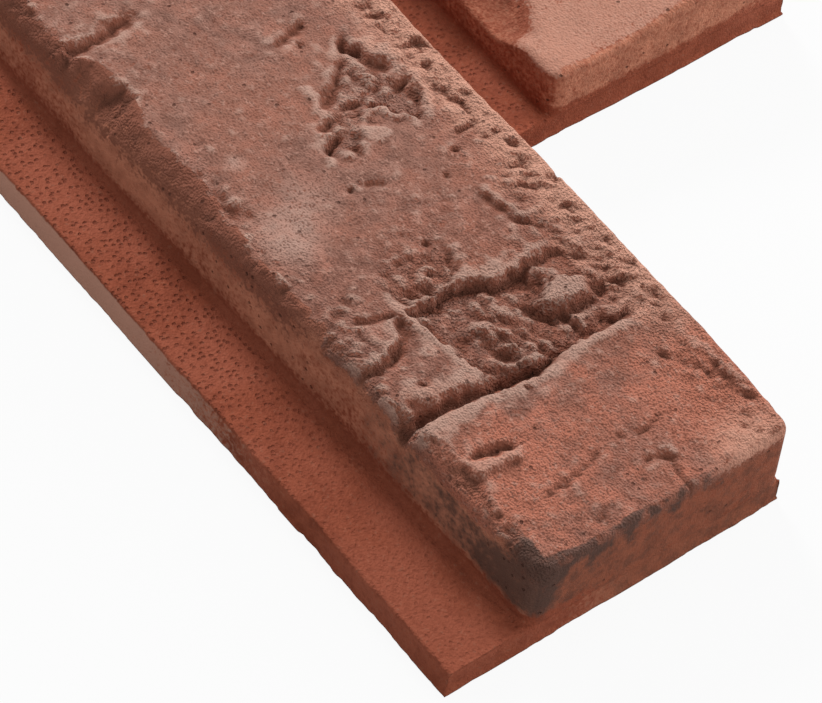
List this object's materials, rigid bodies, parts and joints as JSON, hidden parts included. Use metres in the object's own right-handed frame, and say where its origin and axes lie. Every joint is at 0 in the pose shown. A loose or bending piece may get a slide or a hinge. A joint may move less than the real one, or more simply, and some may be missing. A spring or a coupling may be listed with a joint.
{
  "type": "plaster brick cladding tile",
  "caption": "Interlocking plaster wall cladding tile with staggered rows of moulded rustic bricks in relief on a thin joint bed.",
  "frame": {"origin": "centre of the bounding box of the tile's flat back", "axes": "+X along the brick courses, towards the end where the near course stands out; +Y across the courses; +Z out of the wall, the way the brick faces look"},
  "size_m": [0.4376, 0.154, 0.0228],
  "materials": {
    "coloured_plaster": "matt cast plaster, tinted brick red through and washed brown on the bricks"
  },
  "bodies": {
    "root": {"cladding_tile": "coloured_plaster"}
  },
  "joints": []
}
